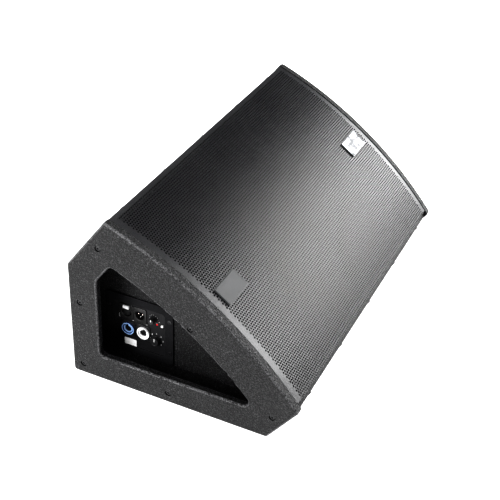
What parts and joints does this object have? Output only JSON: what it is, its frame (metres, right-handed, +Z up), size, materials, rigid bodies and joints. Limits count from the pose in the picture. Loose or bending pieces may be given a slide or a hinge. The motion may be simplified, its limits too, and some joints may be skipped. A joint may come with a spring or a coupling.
{
  "type": "stage monitor wedge",
  "caption": "Wedge-shaped active stage monitor with a curved perforated grille, carrying holes in its end panels and a recessed amplifier panel in one of them.",
  "frame": {"origin": "centre of the bounding box's footprint, on the floor under the feet", "axes": "+X along the cabinet's width from the amplifier end to the plain end, -Y to the side that the grille faces, +Z up with the cabinet lying on its underside"},
  "size_m": [0.69, 0.4244, 0.3283],
  "materials": {
    "side_paint": "charcoal textured paint on plywood, worn along the edges",
    "panel_paint": "black textured paint on plywood",
    "raw_ply": "bare birch plywood",
    "grille_black": "satin black perforated steel",
    "foam_black": "open-cell acoustic foam",
    "badge_grey": "blank satin plate",
    "foot_rubber": "matt",
    "screw_black": "black zinc",
    "frame_black": "black powder-coated casting",
    "gasket_black": "closed-cell gasket",
    "cone_paper": "black pulp",
    "coil_copper": "edge-wound copper wire",
    "roll_cloth": "doped cloth",
    "spider_cloth": "varnished cloth",
    "plate_zinc": "zinc plated",
    "ferrite": "matt ferrite",
    "horn_black": "moulded",
    "dome_metal": "thin formed foil",
    "cap_black": "moulded",
    "port_black": "moulded",
    "wadding": "polyester wadding",
    "amp_plate_grey": "textured dark grey paint",
    "fascia_black": "satin black paint",
    "housing_steel": "folded sheet",
    "connector_black": "satin black",
    "latch_silver": "pressed tab",
    "pin_silver": "silver-plated contacts",
    "socket_black": "moulded",
    "inlet_blue": "moulded",
    "outlet_white": "moulded",
    "knob_black": "soft-touch",
    "control_metal": "pressed cases",
    "switch_white": "moulded",
    "lamp_red": "moulded lens",
    "board_green": "solder mask",
    "pillar_brass": "turned",
    "sink_black": "black anodised",
    "transistor_black": "moulded",
    "capacitor_black": "sleeved cans",
    "transformer_core": "laminated core with taped winding",
    "terminal_plastic": "moulded",
    "lead_grey": "round two-core lead"
  },
  "bodies": {
    "cabinet": {"end_panel_left": "side_paint", "end_panel_right": "side_paint", "end_panel_screws": "screw_black", "rear_panel": "panel_paint", "bottom_panel": "panel_paint", "top_panel": "panel_paint", "front_lip": "panel_paint", "rubber_feet": "foot_rubber", "corner_blocks": "panel_paint", "baffle_board": "panel_paint", "bulkhead_left": "panel_paint", "bulkhead_right": "panel_paint", "grille_ribs": "raw_ply", "grille": "grille_black", "grille_foam": "foam_black", "badges": "badge_grey", "woofer_frame": "frame_black", "woofer_gasket": "gasket_black", "woofer_surround": "roll_cloth", "woofer_spider": "spider_cloth", "motor_front_plate": "plate_zinc", "woofer_magnet": "ferrite", "motor_yoke": "plate_zinc", "hf_horn": "horn_black", "hf_motor": "plate_zinc", "hf_phase_plug": "horn_black", "hf_cap": "cap_black", "woofer_screws": "screw_black", "port_tubes": "port_black", "damping_pads": "wadding", "amp_plate": "amp_plate_grey", "amp_gasket": "gasket_black", "m4_screws": "screw_black", "amp_fascia": "fascia_black", "amp_housing": "housing_steel", "signal_input": "connector_black", "link_output": "connector_black", "link_pins": "pin_silver", "mains_flanges": "socket_black", "power_inlet": "inlet_blue", "power_outlet": "outlet_white", "control_bodies": "control_metal", "status_lamps": "lamp_red", "input_board": "board_green", "main_board": "board_green", "board_pillars": "pillar_brass", "heat_sink": "sink_black", "power_transistors": "transistor_black", "capacitors": "capacitor_black", "transformer": "transformer_core", "lead_terminals": "terminal_plastic", "speaker_leads": "lead_grey"},
    "driver_cone": {"woofer_cone": "cone_paper", "voice_coil": "coil_copper"},
    "hf_dome": {"hf_diaphragm": "dome_metal"},
    "level_control": {"level_knob": "knob_black"},
    "preset_control": {"preset_knob": "knob_black"},
    "latch_tab": {"input_latch": "latch_silver"},
    "lift_slider": {"lift_switch": "switch_white"}
  },
  "joints": [
    {"name": "cone_travel", "type": "slide", "parent": "cabinet", "child": "driver_cone", "axis": [0, -0.5878, 0.809], "range_m": [-0.006, 0.006], "stiffness_N_per_m": 7500},
    {"name": "dome_travel", "type": "slide", "parent": "cabinet", "child": "hf_dome", "axis": [0, -0.5878, 0.809], "range_m": [-0.0003, 0.0003], "stiffness_N_per_m": 20000},
    {"name": "level_turn", "type": "hinge", "parent": "cabinet", "child": "level_control", "pos_m": [-0.285, 0.08569, 0.112], "axis": [-1, 0, 0], "range_deg": [-150, 150]},
    {"name": "preset_turn", "type": "hinge", "parent": "cabinet", "child": "preset_control", "pos_m": [-0.285, 0.08069, 0.069], "axis": [-1, 0, 0], "range_deg": [-315, 0]},
    {"name": "latch_press", "type": "slide", "parent": "cabinet", "child": "latch_tab", "axis": [1, 0, 0], "range_m": [0, 0.002], "stiffness_N_per_m": 500, "springref_m": -0.001},
    {"name": "lift_slide", "type": "slide", "parent": "cabinet", "child": "lift_slider", "axis": [0, 0, -1], "range_m": [0, 0.004]}
  ]
}
